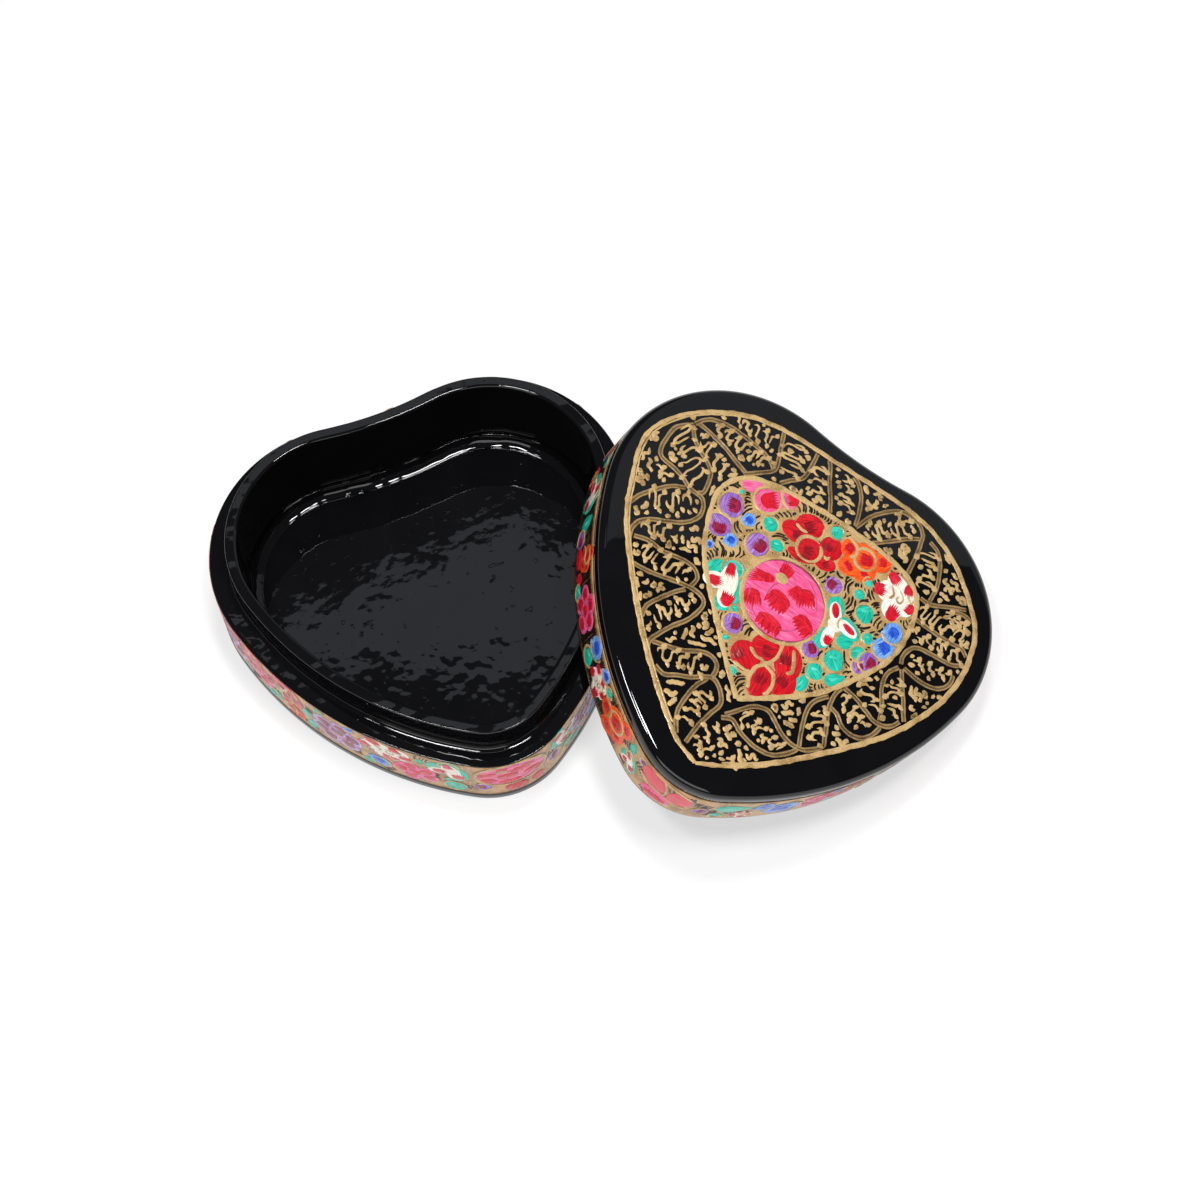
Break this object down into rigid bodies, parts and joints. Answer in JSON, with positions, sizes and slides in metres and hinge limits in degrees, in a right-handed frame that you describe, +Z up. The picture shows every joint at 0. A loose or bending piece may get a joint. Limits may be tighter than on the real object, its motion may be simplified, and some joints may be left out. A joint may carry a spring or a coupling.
{
  "type": "heart keepsake box",
  "caption": "Small heart-shaped lacquered box with a painted floral band, a raised inner collar and a lift-off painted lid that leans on its rim.",
  "frame": {"origin": "middle of the tray's underside, on the surface it stands on", "axes": "+Z up, +Y from the tip of the tray's heart to its notch, +X towards the leaning lid"},
  "size_m": [0.1672, 0.1292, 0.0481],
  "materials": {
    "tray_lacquer": "black lacquer over papier-mache, high gloss",
    "tray_paint": "hand-painted flowers on gold, varnished",
    "lid_lacquer": "black lacquer over papier-mache, high gloss",
    "lid_paint": "hand-painted flowers on gold, varnished"
  },
  "bodies": {
    "base": {"base_board": "tray_lacquer", "base_wall": "tray_paint", "base_collar": "tray_lacquer", "base_cove": "tray_lacquer"},
    "lid": {"lid_board": "lid_lacquer", "lid_wall": "lid_paint", "lid_cove": "lid_lacquer"}
  },
  "joints": [
    {"name": "lid_lift", "type": "slide", "parent": "base", "child": "lid", "axis": [0.2912, -0.1614, 0.9429], "range_m": [0, 0.06]}
  ]
}
